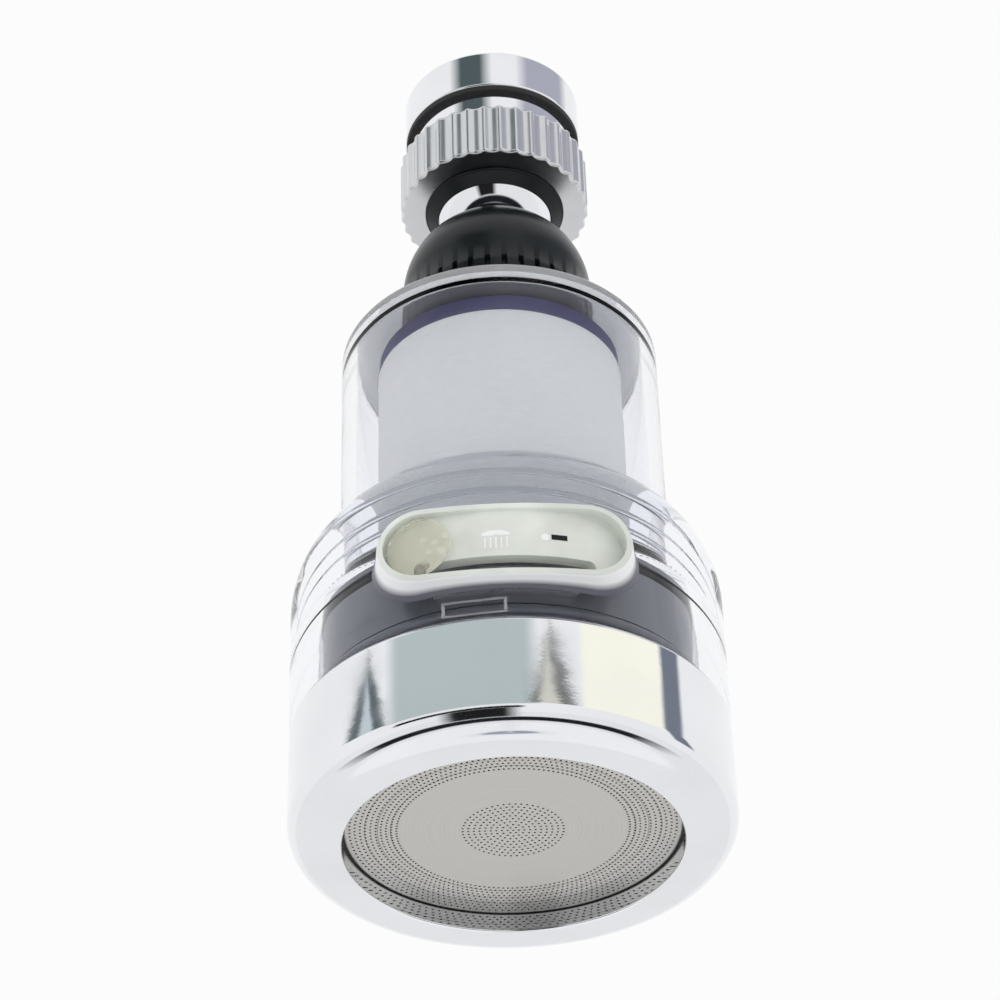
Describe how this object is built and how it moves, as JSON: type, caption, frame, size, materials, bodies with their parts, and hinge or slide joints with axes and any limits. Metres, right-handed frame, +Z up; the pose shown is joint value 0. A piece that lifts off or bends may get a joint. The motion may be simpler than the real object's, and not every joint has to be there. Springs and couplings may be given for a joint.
{
  "type": "swivel faucet aerator",
  "caption": "Ball-jointed tap filter with a threaded tap collar, clear filter housing, spray mode button and a chrome outlet with a micro-hole disc.",
  "frame": {"origin": "centre of the tap collar's open end face, where the tap's thread enters", "axes": "+Z up out of the tap collar, outlet towards -Z; -Y front, where the mode boss is; +X to the right seen from the front"},
  "size_m": [0.0548, 0.0571, 0.1225],
  "materials": {
    "chrome": "bright mirror chrome plate",
    "steel_screen": "satin stainless sheet with fine holes",
    "steel": "plain stainless",
    "clear_plastic": "clear moulded plastic, glossy",
    "tinted_clear": "clear plastic with a warm tint, glossy",
    "black_plastic": "moulded black plastic, soft gloss",
    "white_plastic": "moulded white plastic",
    "filter_fibre": "melt-blown white fibre",
    "violet_rubber": "matt violet rubber",
    "black_rubber": "matt black rubber"
  },
  "bodies": {
    "tap_connector": {"tap_collar": "chrome", "tap_washer": "black_rubber", "inlet_strainer": "steel_screen", "swivel_nut": "chrome", "retainer_ring": "black_plastic"},
    "ball_seat": {"seat_ring": "white_plastic", "seat_oring": "black_rubber"},
    "stem": {"ball_stem": "chrome", "slip_washer": "white_plastic"},
    "head": {"cap_nut": "black_plastic", "flange_gasket": "black_rubber", "filter_tube": "clear_plastic", "cartridge_gasket": "violet_rubber", "filter_element": "filter_fibre", "filter_core": "white_plastic", "cartridge_foot": "white_plastic", "tube_oring": "black_rubber", "lower_shell": "clear_plastic", "outlet_cap": "chrome", "spray_disc": "steel_screen", "disc_gasket": "black_rubber", "jet_core": "white_plastic", "port_seal": "black_rubber", "pivot_screw": "steel", "wave_washer": "steel", "detent_ball": "steel", "detent_spring": "steel"},
    "selector": {"mode_button": "tinted_clear", "rotor": "white_plastic", "selector_oring_upper": "black_rubber", "selector_oring_lower": "black_rubber"}
  },
  "joints": [
    {"name": "swivel_spin", "type": "hinge", "parent": "tap_connector", "child": "ball_seat", "pos_m": [0, 0, -0.017], "axis": [0, 0, 1], "continuous": true},
    {"name": "ball_tilt", "type": "hinge", "parent": "ball_seat", "child": "stem", "pos_m": [0, 0, -0.017], "axis": [1, 0, 0], "range_deg": [-20, 20]},
    {"name": "head_spin", "type": "hinge", "parent": "stem", "child": "head", "pos_m": [0, 0, -0.04], "axis": [0, 0, 1], "continuous": true},
    {"name": "mode_slide", "type": "hinge", "parent": "head", "child": "selector", "pos_m": [0, 0, -0.0975], "axis": [0, 0, 1], "range_deg": [0, 40]}
  ]
}
